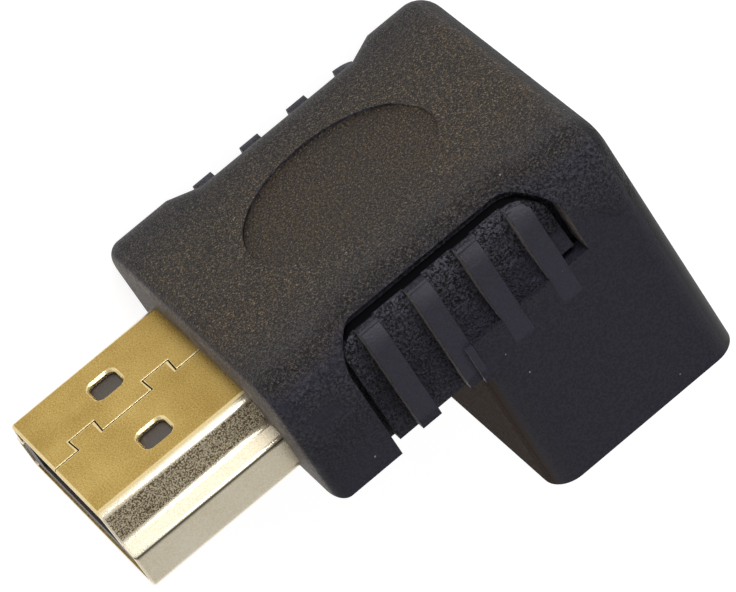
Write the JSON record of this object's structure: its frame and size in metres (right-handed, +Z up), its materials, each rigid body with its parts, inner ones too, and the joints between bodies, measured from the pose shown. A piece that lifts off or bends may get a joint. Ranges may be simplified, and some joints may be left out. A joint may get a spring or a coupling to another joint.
{
  "type": "right angle audio and video plug adapter",
  "caption": "Black moulded elbow adapter: a gold-plated D-shaped digital video plug on one arm, its matching socket at a right angle in the other, ribbed finger grips on both sides.",
  "frame": {"origin": "on the floor, below the centre of the bounding box", "axes": "+X out of the plug, +Y out of the socket, -Y out of the face with the elliptical recess, +Z up from the side face that the adapter lies on"},
  "size_m": [0.0312, 0.0168, 0.0191],
  "materials": {
    "elbow_rubber": "fine spark grain, satin",
    "inner_plastic": "plain moulding",
    "board": "solder mask",
    "gold_plate": "gold-plated sheet, satin",
    "dark_insulator": "satin",
    "contact_metal": "gold-plated, polished"
  },
  "bodies": {
    "root": {"overmould_body": "elbow_rubber", "inner_mould": "inner_plastic", "circuit_board": "board", "plug_shell": "gold_plate", "plug_insulator": "dark_insulator", "socket_shell": "gold_plate", "socket_insulator": "dark_insulator", "plug_contact_01": "contact_metal", "plug_contact_02": "contact_metal", "plug_contact_03": "contact_metal", "plug_contact_04": "contact_metal", "plug_contact_05": "contact_metal", "plug_contact_06": "contact_metal", "plug_contact_07": "contact_metal", "plug_contact_08": "contact_metal", "plug_contact_09": "contact_metal", "plug_contact_10": "contact_metal", "plug_contact_11": "contact_metal", "plug_contact_12": "contact_metal", "plug_contact_13": "contact_metal", "plug_contact_14": "contact_metal", "plug_contact_15": "contact_metal", "plug_contact_16": "contact_metal", "plug_contact_17": "contact_metal", "plug_contact_18": "contact_metal", "plug_contact_19": "contact_metal", "socket_contact_01": "contact_metal", "socket_contact_02": "contact_metal", "socket_contact_03": "contact_metal", "socket_contact_04": "contact_metal", "socket_contact_05": "contact_metal", "socket_contact_06": "contact_metal", "socket_contact_07": "contact_metal", "socket_contact_08": "contact_metal", "socket_contact_09": "contact_metal", "socket_contact_10": "contact_metal", "socket_contact_11": "contact_metal", "socket_contact_12": "contact_metal", "socket_contact_13": "contact_metal", "socket_contact_14": "contact_metal", "socket_contact_15": "contact_metal", "socket_contact_16": "contact_metal", "socket_contact_17": "contact_metal", "socket_contact_18": "contact_metal", "socket_contact_19": "contact_metal"}
  },
  "joints": []
}
